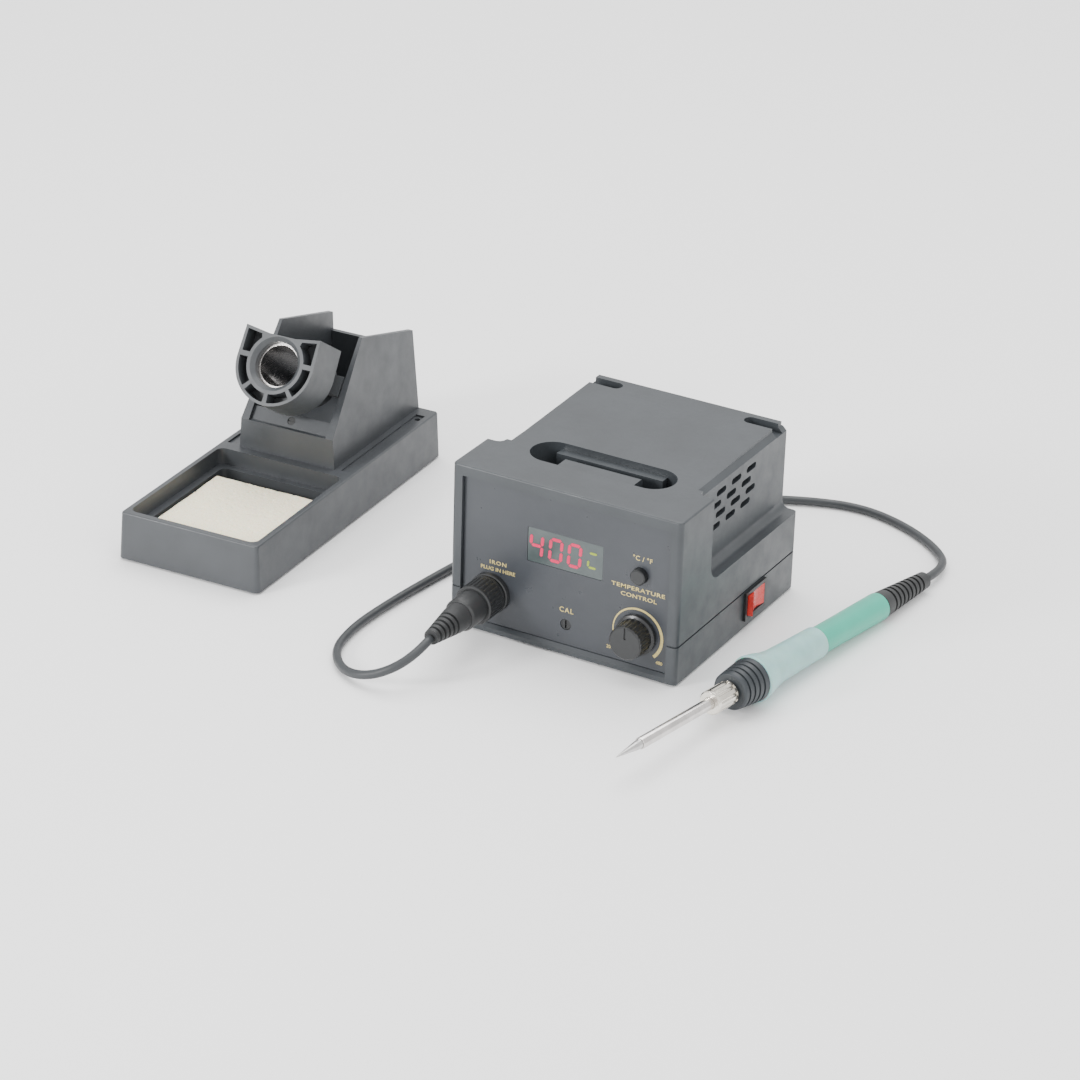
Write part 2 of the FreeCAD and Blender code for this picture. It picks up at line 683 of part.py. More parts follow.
def plug_ring():
    body = turned([
        ("-3.4", "7.4"), ("-3.4", "ring_radius - 0.5"), ("-3.9", "ring_radius"), ("-16.6", "ring_radius"),
        ("-17.2", "ring_radius - 0.6"), ("-17.2", "plug_radius + 0.06"), ("-9.5", "plug_radius + 0.06"),
        ("-9.5", "7.4"),
    ])
    flute = circles(body, "XZ_Plane", [("0", "ring_radius + 0.55")], "0.9", "5.2")
    around(body, [pocket(body, flute, "10.2")], 28)
    return body


def plug_boot():
    """A tapered boot with five cuts that let it bend."""
    body = turned([
        ("-29.4", "0"), ("-29.4", "6.9"), ("-34", "6.6"), ("-54", "3.7"), ("-54", "0"),
    ])
    ribs = []
    for step in range(5):
        start = 38.5 + 3.1 * step
        outer = 6.6 - (start + 0.7 - 34) * 0.145
        ring = minus(
            rod("9", "1.3", "0", f"-{start + 1.3:.2f}", "0", ALONG_Y),
            rod(f"{outer - 1.0:.3f}", "3", "0", f"-{start + 2:.2f}", "0", ALONG_Y),
        )
        ribs.append(ring)
    return minus(body, *ribs)


panel_item("iron_socket", iron_socket(), "socket_x", "socket_z")
panel_item("socket_nut", lock_nut(), "socket_x", "socket_z")
panel_item("plug_pins", together(*[rod("0.8", "6.6", x, "-9.2", z, ALONG_Y) for x, z in PINS]),
           "socket_x", "socket_z")
plug_body = turned([
    ("-9.2", "0"), ("-9.2", "7.2"), ("-9.6", "7.2"), ("-9.6", "plug_radius"), ("-28", "plug_radius"),
    ("-29.4", "7.2"), ("-29.4", "0"),
])
panel_item("plug_body", plug_body, "socket_x", "socket_z")
panel_item("plug_ring", plug_ring(), "socket_x", "socket_z")
panel_item("plug_boot", plug_boot(), "socket_x", "socket_z")


# ---------------------------------------------------------------- power switch, mains inlet, fuse

SIDE = "case_width / 2"


def switch_housing():
    y_half, z_half = "switch_length / 2 - 1.1", "switch_height / 2 - 1.1"
    bezel = block("1.4", "switch_length", "switch_height", SIDE, "-switch_length / 2", "-switch_height / 2")
    case = block("17", f"2 * ({y_half})", f"2 * ({z_half})", f"{SIDE} - 17", f"-({y_half})", f"-({z_half})")
    well = block("20", "17.4", "11", f"{SIDE} - 7", "-8.7", "-5.5")
    pivot = rod("1.25", "12.2", f"{SIDE} - 1", "0", "-6.1")
    terminals = [block("7", "0.8", "4.8", f"{SIDE} - 24.5", y, "-2.4") for y in ("-5", "4.2")]
    return place(minus(union(bezel, case, *terminals), well, pivot), "0", "switch_y", "switch_z")


def rocker():
    """The rocker about its pivot, level; it is then leaned towards the off side."""
    body = new_body()
    corners = [
        ("-4.2", "0"), ("-1.5", "-8"), ("3.6", "-8"), ("1.9", "-3"), ("1.6", "0"), ("1.9", "3"),
        ("3.6", "8"), ("-1.5", "8"),
    ]
    pad(body, outline(body, "XY_Plane", corners, "-5.15"), "10.3")
    pins = circles(body, "XY_Plane", [("0", "0")], "1.2", "-5.95")
    pad(body, pins, "11.9")
    return body


node("power_switch", switch_housing(), STATION)
lean = Rotation(value("rocker_angle"), 0, 0)
node("power_rocker", place(carried(rocker()), f"{SIDE} - 1", "switch_y", "switch_z", lean), STATION)

REAR = "case_depth / 2"
BLADES = [("-7", "-2"), ("7", "-2"), ("0", "2")]


def blades(extra="0"):
    width, height = f"2 + {extra}", f"4 + {extra}"
    return [
        block(width, "24", height, f"{x} - ({width}) / 2", "-24.5", f"{z} - ({height}) / 2")
        for x, z in BLADES
    ]


def mains_inlet():
    case = block("inlet_width", "18", "inlet_height", "-inlet_width / 2", "-18", "-inlet_height / 2")
    flange = block("30.6", "2.5", "22.8", "-15.3", "0", "-11.4")
    well = new_body()
    corners = [
        ("-12.2", "-8.3"), ("12.2", "-8.3"), ("12.2", "4.6"), ("8.5", "8.3"), ("-8.5", "8.3"), ("-12.2", "4.6"),
    ]
    pad(well, outline(well, "XZ_Plane", corners, "-3"), "16.5")
    return place(minus(union(case, flange), well, *blades()), "inlet_x", REAR, "inlet_z")


node("mains_inlet", mains_inlet(), STATION)
node("inlet_pins", place(together(*blades()), "inlet_x", REAR, "inlet_z"), STATION)

fuse_tube = turned([
    ("-25", "0"), ("-25", "fuse_radius"), ("0", "fuse_radius"), ("0", "7.4"), ("1.4", "7.4"),
    ("1.4", "3.4"), ("-23.5", "3.4"), ("-23.5", "0"),
])
node("fuse_holder", place(fuse_tube, "fuse_x", REAR, "fuse_z"), STATION)
fuse = turned([("-23.5", "0"), ("-23.5", "2.6"), ("-3.5", "2.6"), ("-3.5", "0")])
node("fuse", place(fuse, "fuse_x", REAR, "fuse_z"), STATION)
cap = minus(
    turned([("-3.2", "0"), ("-3.2", "3.1"), ("1.7", "3.1"), ("1.7", "6.4"), ("5", "6.1"), ("5.4", "5.6"), ("5.4", "0")]),
    block("1.2", "2", "9", "-0.6", "4", "-4.5"),
)
node("fuse_cap", place(cap, "fuse_x", REAR, "fuse_z"), STATION)


# ---------------------------------------------------------------- inside the station

def transformer_core():
    """An E and I lamination stack with its two windows."""
    body = new_body()
    half = "core_width / 2"
    deep = "core_stack / 2"
    pad(body, rectangle(body, "XZ_Plane", f"-{half}", half, "0", "core_height", f"-{deep}"), "core_stack")
    for side in (-1, 1):
        near, far = sorted([f"{side} * core_window", f"{side} * core_window * 2"], key=value)
        gap = rectangle(body, "XZ_Plane", near, far, "core_window", "core_height - core_window", f"-{deep}")
        pocket(body, gap, "core_stack")
    return place(body, "0", "core_y", FLOOR)


def transformer_winding():
    outer, inner = "core_window * 2 - 0.2", "core_window + 0.2"
    deep, reach = "core_stack / 2 + 0.2", "core_stack / 2 + 9.6"
    low, high = "core_window + 0.3", "core_height - core_window - 0.3"
    coil = block(f"2 * ({outer})", f"2 * ({reach})", f"{high} - ({low})", f"-({outer})", f"-({reach})", low)
    leg = block(f"2 * ({inner})", f"2 * ({deep})", "core_height", f"-({inner})", f"-({deep})", "0")
    return place(minus(coil, leg), "0", "core_y", FLOOR)


def transformer_strap():
    """A steel strap over the core with a screwed foot each side."""
    body = new_body()
    near, far, foot = "core_width / 2 + 0.1", "core_width / 2 + 1.3", "core_width / 2 + 12"
    over = "core_height + 1.3"
    corners = [
        (f"-({foot})", "0"), (f"-({near})", "0"), (f"-({near})", "core_height + 0.1"), (near, "core_height + 0.1"),
        (near, "0"), (foot, "0"), (foot, "1.2"), (far, "1.2"), (far, over), (f"-({far})", over),
        (f"-({far})", "1.2"), (f"-({foot})", "1.2"),
    ]
    pad(body, outline(body, "XZ_Plane", corners, "-8"), "16")
    pocket(body, circles(body, "XY_Plane", STRAP_HOLES, "1.6", "2"), "3", back=False)
    return place(body, "0", "core_y", FLOOR)


def strap_screws():
    screws = []
    for x, y in STRAP_HOLES:
        screws.append(union(rod("3", "2", x, y, "1.2"), rod("1.5", "3", x, y, "-1.6")))
    return place(together(*screws), "0", "core_y", FLOOR)


def board_parts():
    """Heat sink with fins, two capacitors, a relay and a terminal block behind the control board."""
    rear = f"{BOARD} + board_thick"
    fins = [block("1.4", "10", "26", f"-18 + {3.4 * step:.1f}", f"{rear} + 2.4", "18") for step in range(6)]
    sink = union(block("20", "2.5", "26", "-19", rear, "18"), *fins)
    cans = [rod("5", "15", x, rear, "26", ALONG_Y) for x in ("14", "27")]
    relay = block("19", "12", "15", "8", rear, "42")
    terminals = block("20", "10", "9", "26", rear, "54")
    return together(sink, *cans, relay, terminals)


def board_screws():
    rear = f"{BOARD} + board_thick"
    screws = []
    for x, z in BOARD_HOLES:
        shank = rod("1.05", "6", x, f"{rear} - 6", z, ALONG_Y)
        screws.append(union(rod("2.2", "1.6", x, rear, z, ALONG_Y), shank))
    return together(*screws)


node("transformer_core", transformer_core(), STATION)
node("transformer_winding", transformer_winding(), STATION)
node("transformer_strap", transformer_strap(), STATION)
node("strap_screws", strap_screws(), STATION)
node("board_components", board_parts(), STATION)
node("board_screws", board_screws(), STATION)


# ---------------------------------------------------------------- iron, along +Y from its tip

def barrel_nut():
    body = turned([
        ("nut_start", "barrel_radius + 0.1"), ("nut_start", "nut_radius - 0.6"), ("nut_start + 0.6", "nut_radius"),
        ("collar_start - 0.9", "nut_radius"), ("collar_start - 0.3", "nut_radius - 0.6"),
        ("collar_start - 0.3", "4.7"), ("nut_start + 5.6", "4.7"), ("nut_start + 5.6", "barrel_radius + 0.1"),
    ])
    flute = circles(body, "XZ_Plane", [("0", "nut_radius + 0.35")], "0.95", "-nut_start - 1.6")
    around(body, [pocket(body, flute, "12.6", back=False)], 10)
    return body


def front_collar():
    """The ribbed collar round the heater mount, just behind the nut."""
    start, end = "collar_start", "sleeve_start"
    corners = [(start, "4.05"), (start, "8.4"), (f"{start} + 0.8", "9")]
    for step in range(4):
        rib = 2.6 + 3.4 * step
        radius = 9 + 1.7 * rib / 16.9
        corners += [
            (f"{start} + {rib:.2f}", f"{radius:.3f}"), (f"{start} + {rib:.2f}", f"{radius - 0.8:.3f}"),
            (f"{start} + {rib + 1.2:.2f}", f"{radius - 0.7:.3f}"),
            (f"{start} + {rib + 1.2:.2f}", f"{radius + 0.1:.3f}"),
        ]
    corners += [(end, "collar_radius"), (end, "4.05")]
    return turned(corners)


def strain_relief():
    body = turned([
        ("handle_end - 6", "0"), ("handle_end - 6", "3.9"), ("handle_end", "3.9"), ("handle_end", "relief_radius"),
        ("handle_end + 3", "relief_radius"), ("iron_length", "relief_end"), ("iron_length", "0"),
    ])
    rings = []
    for step in range(8):
        start = 6 + 3.8 * step
        outer = 6.5 - 2.3 * (start - 3) / 37
        rings.append(minus(
            rod("9", "1.5", "0", f"handle_end + {start:.1f}", "0", ALONG_Y),
            rod(f"{outer - 0.9:.3f}", "4", "0", f"handle_end + {start - 1:.1f}", "0", ALONG_Y),
        ))
    return minus(body, *rings)


tip = turned([
    ("0", "0"), ("0", "0.25"), ("barrel_start - 3", "2"), ("barrel_start + 0.2", "2.25"), ("47", "2.25"), ("47", "1.6"),
    ("23", "1.6"), ("22", "0"),
])
node("soldering_tip", tip, IRON)
node("heater_element", rod("1.5", "74", "0", "23.4", "0", ALONG_Y), IRON)
mount = turned([
    ("nut_start + 7.2", "1.55"), ("nut_start + 7.2", "4"), ("sleeve_start", "4"), ("sleeve_start", "1.55"),
])
node("heater_mount", mount, IRON)
barrel = turned([
    ("barrel_start", "2.3"), ("barrel_start", "barrel_radius - 0.2"), ("barrel_start + 0.5", "barrel_radius"),
    ("nut_start + 5.7", "barrel_radius"), ("nut_start + 5.7", "4.3"), ("nut_start + 6.9", "4.3"),
    ("nut_start + 6.9", "2.3"),
])
node("barrel", barrel, IRON)
node("barrel_nut", barrel_nut(), IRON)
node("front_collar", front_collar(), IRON)
handle = turned([
    ("sleeve_start", "0"), ("sleeve_start", "6.2"), ("sleeve_end + 0.1", "6.2"),
    ("sleeve_end + 0.1", "handle_radius - 0.2"), ("handle_end - 0.8", "handle_radius + 0.05"),
    ("handle_end", "handle_radius - 0.6"), ("handle_end", "4"), ("sleeve_start + 6", "4"), ("sleeve_start + 6", "0"),
])
node("handle", handle, IRON)
sleeve = turned([
    ("sleeve_start + 0.1", "6.25"), ("sleeve_start + 0.1", "flare_radius - 0.5"),
    ("sleeve_start + 1", "flare_radius"), ("sleeve_start + 6", "10.6"), ("sleeve_start + 12", "9.1"),
    ("sleeve_start + 18", "8.3"), ("sleeve_start + 36", "7.9"), ("sleeve_end - 0.8", "7.7"), ("sleeve_end", "7.1"),
    ("sleeve_end", "6.25"),
])
node("grip_sleeve", sleeve, IRON)
node("strain_relief", strain_relief(), IRON)


# ---------------------------------------------------------------- cord, about the station

IRON_CORD = [
    (114.04, 92.3, 5.35), (116.8, 113, 3.8), (103, 132, 2.4), (79, 147, 2.3), (52, 154, 2.3), (26, 147, 2.3),
    (0, 132, 2.7), (-26, 126.2, 2.9),
]
PLUG_CORD = [
    (-39.05, -113.1, 20.9), (-40, -127, 16.5), (-54, -136, 7.5), (-72, -134, 2.9), (-88, -118, 2.4), (-93, -94, 2.4),
    (-92, -66, 2.4), (-89, -36, 2.4), (-85, -6, 2.4), (-79, 26, 2.4), (-69, 54, 2.4), (-56, 79, 3.6),
    (-53.1, 105, 5.6),
]


def cord_wire(points):
    """Straight runs joined by tangent arcs, and the smallest arc radius."""
    corners = [Vector(*point) for point in points]
    edges, radii = [], []
    last = corners[0]
    for before, corner, after in zip(corners, corners[1:], corners[2:]):
        coming = (corner - before).normalize()
        going = (after - corner).normalize()
        half_turn = coming.getAngle(going) / 2
        reach = 0.45 * min((corner - before).Length, (after - corner).Length)
        radius = reach / math.tan(half_turn)
        start, end = corner - coming * reach, corner + going * reach
        inward = (going - coming).normalize()
        centre = corner + inward * (radius / math.cos(half_turn))
        edges.append(Part.LineSegment(last, start).toShape())
        edges.append(Part.Arc(start, centre - inward * radius, end).toShape())
        radii.append(radius)
        last = end
    edges.append(Part.LineSegment(last, corners[-1]).toShape())
    return Part.Wire(edges), radii


def cord_tube(name, points):
    wire, radii = cord_wire(points)
    heading = Vector(*points[1]) - Vector(*points[0])
    section = Part.Wire(Part.makeCircle(value("cord_radius"), Vector(*points[0]), heading))
    tube = doc.addObject("Part::Feature", "Tube")
    tube.Shape = wire.makePipeShell([section], True, False)
    expected = math.pi * value("cord_radius") ** 2 * wire.Length
    print(f"{name}: {wire.Length:.1f} long, least bend {min(radii):.1f}, volume ratio "
          f"{tube.Shape.Volume / expected:.4f}")
    node(name, together(tube), STATION)
    return wire.Length


coil = minus(rod("coil_outer", "coil_height", z="coil_lift"), rod("coil_inner", "20", z="-1"))
node("cord_coil", place(carried(coil), "coil_x", "coil_y"), STATION)
band = block(
    "5", "coil_outer - coil_inner + 1.2", "coil_height + 1.2", "-2.5", "-coil_outer - 0.6", "coil_lift - 0.6"
)
inside = block(
    "8", "coil_outer - coil_inner + 0.27", "coil_height + 0.04", "-4", "-coil_outer - 0.02", "coil_lift - 0.02"
)
tie = minus(band, inside)
node("cord_tie", place(tie, "coil_x", "coil_y"), STATION)
lengths = [cord_tube("cord_to_iron", IRON_CORD), cord_tube("cord_to_plug", PLUG_CORD)]
print(f"cord outside the coil {sum(lengths):.1f} of {value('cord_length'):.0f}")


# ---------------------------------------------------------------- stand

STAND_FEET = [(f"{sx} * 32.5", y) for sx in (-1, 1) for y in ("8", "stand_length - 8")]
STAND_SCREWS = [(f"{sx} * 17", y) for sx in (-1, 1) for y in ("108", "166")]


def stand_base():
    body = new_body()
    half = "stand_width / 2"
    floor = rounded(body, "XY_Plane", f"-{half}", half, "0", "stand_length", "stand_corner", "foot_height")
    shell = pad(body, floor, "stand_height - foot_height")
    bind(shell, TaperAngle="-stand_draft")
    doc.recompute()
    top = value("stand_height")
    rounded_edges(body, lambda point: abs(point.z - top) < 0.01, "1.0")
    ledge = rounded(
        body, "XY_Plane", "-well_width / 2", "well_width / 2", "well_front", "well_back", "4", "stand_height"
    )
    pocket(body, ledge, "stand_height - well_ledge", back=False)
    well = rounded(
        body, "XY_Plane", "-well_width / 2 + 4", "well_width / 2 - 4", "well_front + 4", "well_back - 4", "3",
        "well_ledge",
    )
    pocket(body, well, "well_ledge - well_floor", back=False)
    for side in (-1, 1):
        near, far = sorted([f"{side} * 30", f"{side} * 35"], key=value)
        groove = rectangle(body, "XY_Plane", near, far, "95", "172", "stand_height")
        pocket(body, groove, "1", back=False)
        hole = circles(body, "XY_Plane", [(f"{side} * 32.5", "168.5")], "1.5", "stand_height - 1")
        pocket(body, hole, "3", back=False)
    under = rectangle(body, "XY_Plane", "-27.3", "27.3", "94.7", "175.3", "foot_height")
    pocket(body, under, "20")
    pocket(body, circles(body, "XY_Plane", STAND_SCREWS, "1.6", "foot_height"), "stand_height")
    pocket(body, circles(body, "XY_Plane", STAND_FEET, "5.1", "foot_height"), "1")
    return body


def on_sill(thing):
    """Stands a thing, drawn about +Z, square on the sloped sill."""
    return place(carried(thing), "0", "98.1", "43.6", Rotation(Vector(1, 0, 0), 51.8))


def holder_housing():
    """A trough with two side plates, a low front with a sloped sill, and a low back wall."""
    body = new_body()
    low, high = "holder_base / 2", "holder_top / 2"
    foot = "stand_height"
    front_view = [(f"-{low}", foot), (low, foot), (high, "holder_peak"), (f"-{high}", "holder_peak")]
    block_out = outline(body, "XZ_Plane", front_view, "-holder_foot_y")
    pad(body, block_out, "holder_foot_y - holder_front")
    side_view = [
        ("holder_front - 3", "holder_lip"), ("holder_front", "holder_lip"), ("holder_peak_y", "holder_peak"),
        ("holder_rear_y", "holder_rear"), ("holder_foot_y", foot), ("holder_foot_y + 9", foot),
        ("holder_foot_y + 9", "holder_peak + 5"), ("holder_front - 3", "holder_peak + 5"),
    ]
    pocket(body, outline(body, "YZ_Plane", side_view, "-holder_base"), "2 * holder_base")
    inside = [
        ("holder_front + 2.5", f"{foot} + 2.5"), ("holder_front + 2.5", "holder_lip - 3.6"), ("102", "45.1"),
        ("100.3", "46.4"), ("holder_front + 2.4", "holder_lip - 0.2"), ("holder_front - 2", "holder_lip"),
        ("holder_front - 2", "holder_peak + 4"), ("holder_foot_y + 5", "holder_peak + 4"),
        ("holder_foot_y + 5", "holder_back"), ("holder_foot_y - 4.9", "holder_back"),
        ("holder_foot_y - 2.7", f"{foot} + 2.5"),
    ]
    pocket(body, outline(body, "YZ_Plane", inside, "-holder_inner / 2"), "holder_inner")
    pins = circles(body, "YZ_Plane", [(PIVOT_Y, PIVOT_Z)], "tilt_pin", "-holder_inner / 2 - 1.4")
    pocket(body, pins, "holder_inner + 2.8")
    pocket(body, circles(body, "XY_Plane", STAND_SCREWS, "1.5", foot), "2")
    return minus(body, on_sill(rod("2.15", "8", z="-4")))


PIVOT_Y = "cup_y + tilt_axis * cos(cup_tilt)"
PIVOT_Z = "cup_z - tilt_axis * sin(cup_tilt)"
SPOKES = [-95, -42, 0, 42, 95]


def at_angle(radius, degrees):
    """A point on the mouth's face, the angle counted from straight down towards the right."""
    turn = math.radians(degrees)
    return f"{radius} * {math.sin(turn):.5f}", f"-{radius} * {math.cos(turn):.5f}"


def holder_cup():
    """The receptacle: a drum with ears and hollow rim, and a sleeve behind with two pivot lugs."""
    body = new_body()
    drum = [
        ("cup_radius", "0", "-cup_radius"), ("0", "-cup_radius", "-cup_radius"), ("-cup_radius", "0"),
        ("-cup_radius + 0.5", "16"),
        ("-7", "cup_mouth + 0.5"), ("7", "cup_mouth + 0.5"), ("cup_radius - 0.5", "16"),
    ]
    pad(body, outline(body, "XZ_Plane", drum), "cup_length", back=True)
    pad(body, circles(body, "XZ_Plane", [("0", "0")], "boss_radius", "-cup_length"), "boss_end - cup_length", back=True)
    for side in (-1, 1):
        near, far = sorted([f"{side} * 11.5", f"{side} * (holder_inner / 2 - 0.6)"], key=value)
        lug = rectangle(body, "XZ_Plane", near, far, "-5", "5", "-tilt_axis + 5")
        pad(body, lug, "10", back=True)
    pocket(body, circles(body, "XZ_Plane", [("0", "0")], "cup_bore"), "boss_end", back=False)
    mouth = lambda point: abs(point.y) < 0.01 and abs(math.hypot(point.x, point.z) - value("cup_bore")) < 0.01
    rounded_edges(body, mouth, "cup_mouth - cup_bore", "Chamfer")
    half = 3.5
    for first, second in zip(SPOKES, SPOKES[1:]):
        corners = [
            (*at_angle("cup_web", first + half), "cup_web"), at_angle("cup_web", second - half),
            (*at_angle("cup_rim", second - half), "-cup_rim"), at_angle("cup_rim", first + half),
        ]
        pocket(body, outline(body, "XZ_Plane", corners), "9", back=False)
    for side in (-1, 1):
        corners = [
            (f"{side} * 10.6", "11.03", f"{-side} * cup_web"), (f"{side} * 15", "3"), (f"{side} * 19.3", "3"),
            (f"{side} * 19.2", "14.2"), (f"{side} * 11.2", "13.1"),
        ]
        pocket(body, outline(body, "XZ_Plane", corners), "9", back=False)
    bores = circles(body, "YZ_Plane", [("tilt_axis", "0")], "tilt_pin + 0.05", "-holder_inner / 2")
    pocket(body, bores, "holder_inner / 2 - 13.2")
    bores = circles(body, "YZ_Plane", [("tilt_axis", "0")], "tilt_pin + 0.05", "13.2")
    pocket(body, bores, "holder_inner / 2 - 13.2")
    return body


node("stand_base", stand_base(), STAND)
node("stand_feet", feet(STAND_FEET, "5", "foot_height + 1"), STAND)
plate_holes = [rod("1.7", "12", x, y, "11") for x, y in STAND_SCREWS]
node("stand_weight", minus(block("54", "80", "8", "-27", "95", "13"), *plate_holes), STAND)
node("stand_screws", small_screws(STAND_SCREWS, "1.45", "16", "3.1", "11"), STAND)
sponge = new_body()
cushion = rounded(
    sponge, "XY_Plane", "-sponge_width / 2", "sponge_width / 2", "sponge_front", "sponge_back", "3", "well_floor + 0.3"
)
pad(sponge, cushion, "sponge_top - well_floor - 0.3")
node("sponge", sponge, STAND)
node("holder_housing", holder_housing(), STAND)
pins = [
    rod("tilt_pin", "9.6", x, PIVOT_Y, PIVOT_Z, ALONG_X)
    for x in ("-holder_inner / 2 - 1.4", "holder_inner / 2 + 1.4 - 9.6")
]
node("tilt_pins", together(*pins), STAND)
screw = minus(rod("2.1", "7.5", z="-7.8"), block("4.6", "0.7", "1", "-2.3", "-0.35", "-0.9"))
node("tilt_lock_screw", on_sill(screw), STAND)
node("holder_cup", holder_cup(), CUP)
liner = turned([
    ("5", "liner_radius"), ("5", "cup_bore"), ("boss_end - 1", "cup_bore"), ("boss_end - 1", "liner_radius"),
])
node("holder_liner", liner, CUP)


# ---------------------------------------------------------------- checks and files

doc.recompute()
for thing in doc.Objects:
    if "Invalid" in thing.State or "Error" in thing.State:
        raise RuntimeError(f"{thing.Label} did not recompute: {thing.State}")
for name, thing in NODES.items():
    if thing.Shape.isNull() or not thing.Shape.isValid():
        raise RuntimeError(f"{name} is not a valid shape")
    box = thing.Shape.BoundBox
    low = ", ".join(f"{edge:.1f}" for edge in (box.XMin, box.YMin, box.ZMin))
    high = ", ".join(f"{edge:.1f}" for edge in (box.XMax, box.YMax, box.ZMax))
    print(f"{name}: {len(thing.Shape.Solids)} solids, {thing.Shape.Volume:.0f} mm3, ({low}) to ({high})")
    thing.Shape.exportStep(f"parts/{name}.step")
print(f"{len(NODES)} nodes")
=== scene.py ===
"""Looks for the soldering station, its iron and its stand. Metres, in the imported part's frame."""

import json
import math

import bmesh
import bpy
from mathutils import Euler, Matrix, Vector, noise


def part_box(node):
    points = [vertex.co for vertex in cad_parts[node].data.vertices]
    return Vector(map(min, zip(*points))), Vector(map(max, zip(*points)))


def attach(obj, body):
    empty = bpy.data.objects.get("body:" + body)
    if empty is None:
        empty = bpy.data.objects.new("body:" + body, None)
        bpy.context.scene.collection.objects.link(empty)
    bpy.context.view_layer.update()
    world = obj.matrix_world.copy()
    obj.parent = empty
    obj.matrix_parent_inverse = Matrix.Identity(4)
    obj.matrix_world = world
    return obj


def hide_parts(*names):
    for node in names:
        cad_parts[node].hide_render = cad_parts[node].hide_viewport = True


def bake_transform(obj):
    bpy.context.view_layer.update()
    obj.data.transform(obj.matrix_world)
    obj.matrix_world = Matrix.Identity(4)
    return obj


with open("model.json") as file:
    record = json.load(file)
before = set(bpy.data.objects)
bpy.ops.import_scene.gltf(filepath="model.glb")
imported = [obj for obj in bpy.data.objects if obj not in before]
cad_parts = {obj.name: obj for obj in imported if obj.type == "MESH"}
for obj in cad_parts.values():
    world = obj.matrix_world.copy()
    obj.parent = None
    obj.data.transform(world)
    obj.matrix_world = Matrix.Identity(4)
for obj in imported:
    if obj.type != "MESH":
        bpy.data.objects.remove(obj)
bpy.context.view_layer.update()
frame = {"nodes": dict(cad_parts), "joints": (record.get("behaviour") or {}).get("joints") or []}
nodes = frame["nodes"]
MM = 0.001
ROOT = "station_and_stand"


# ---------------------------------------------------------------- places

def middle(node):
    low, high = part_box(node)
    return (low + high) / 2


centre = middle("base_housing")
STATION = Matrix.Translation((centre.x, centre.y, 0))
tilt = next(joint for joint in frame["joints"] if joint["name"] == "receptacle_tilt")
STAND_YAW = math.atan2(tilt["axis"][1], tilt["axis"][0])
turn = Matrix.Rotation(STAND_YAW, 4, "Z")
PIVOT_Y = 113.870
pivot_on_floor = Vector((*tilt["pos_m"][:2], 0))
STAND = Matrix.Translation(pivot_on_floor - (turn @ Vector((0, PIVOT_Y * MM, 0)))) @ turn
pull = next(joint for joint in frame["joints"] if joint["name"] == "barrel_pull")
IRON_AXIS = -Vector(pull["axis"]).normalized()
PANEL_Y = -58.5


def at(group, x, y, z):
    """A point in a group's own millimetres, in the row frame."""
    return group @ (Vector((x, y, z)) * MM)


# ---------------------------------------------------------------- materials

class Shader:
    """A principled material with object-space texture coordinates."""

    def __init__(self, name, color, rough=0.5, metal=0.0, **sockets):
        self.material = bpy.data.materials.new(name)
        self.material.use_nodes = True
        self.tree = self.material.node_tree
        self.bsdf = next(n for n in self.tree.nodes if n.type == "BSDF_PRINCIPLED")
        self.bsdf.inputs["Base Color"].default_value = (*color, 1)
        self.bsdf.inputs["Roughness"].default_value = rough
        self.bsdf.inputs["Metallic"].default_value = metal
        for socket, size in sockets.items():
            self.bsdf.inputs[socket.replace("_", " ")].default_value = size
        self.coordinates = self.node("ShaderNodeTexCoord").outputs["Object"]
        self.bump = None

    def node(self, kind, **settings):
        node = self.tree.nodes.new(kind)
        for key, size in settings.items():
            if hasattr(node, key):
                setattr(node, key, size)
            else:
                node.inputs[key.replace("_", " ")].default_value = size
        return node

    def link(self, source, target):
        self.tree.links.new(source, target)

    def noise(self, size, detail=3.0, rough=0.55, stretch=None):
        """Noise whose grains are about size millimetres across, from 0 to 1."""
        texture = self.node("ShaderNodeTexNoise", Scale=1 / (size * MM), Detail=detail, Roughness=rough)
        source = self.coordinates
        if stretch:
            mapping = self.node("ShaderNodeMapping")
            mapping.inputs["Scale"].default_value = stretch
            self.link(source, mapping.inputs["Vector"])
            source = mapping.outputs["Vector"]
        self.link(source, texture.inputs["Vector"])
        return texture.outputs["Fac"]

    def cells(self, size):
        texture = self.node("ShaderNodeTexVoronoi", feature="F1", Scale=1 / (size * MM))
        self.link(self.coordinates, texture.inputs["Vector"])
        return texture.outputs["Distance"]

    def ramp(self, source, stops):
        """Maps a grey source to grey or colour stops [(place, value), ...]."""
        ramp = self.node("ShaderNodeValToRGB")
        elements = ramp.color_ramp.elements
        while len(elements) < len(stops):
            elements.new(0.5)
        for element, (place, tone) in zip(elements, stops):
            element.position = place
            element.color = (*tone, 1) if isinstance(tone, tuple) else (tone, tone, tone, 1)
        self.link(source, ramp.inputs["Fac"])
        return ramp.outputs["Color"]

    def color(self, source, stops):
        self.link(self.ramp(source, stops), self.bsdf.inputs["Base Color"])
        return self

    def rough(self, source, low, high, start=0.3, stop=0.7):
        self.link(self.ramp(source, [(start, low), (stop, high)]), self.bsdf.inputs["Roughness"])
        return self

    def relief(self, source, height, strength=1.0):
        """Bump of the given height in millimetres, added over any bump so far."""
        bump = self.node("ShaderNodeBump", Strength=strength, Distance=height * MM)
        self.link(source, bump.inputs["Height"])
        if self.bump:
            self.link(self.bump, bump.inputs["Normal"])
        self.bump = bump.outputs["Normal"]
        self.link(self.bump, self.bsdf.inputs["Normal"])
        return self


def shade(color, gain):
    return tuple(min(1.0, tone * gain) for tone in color)


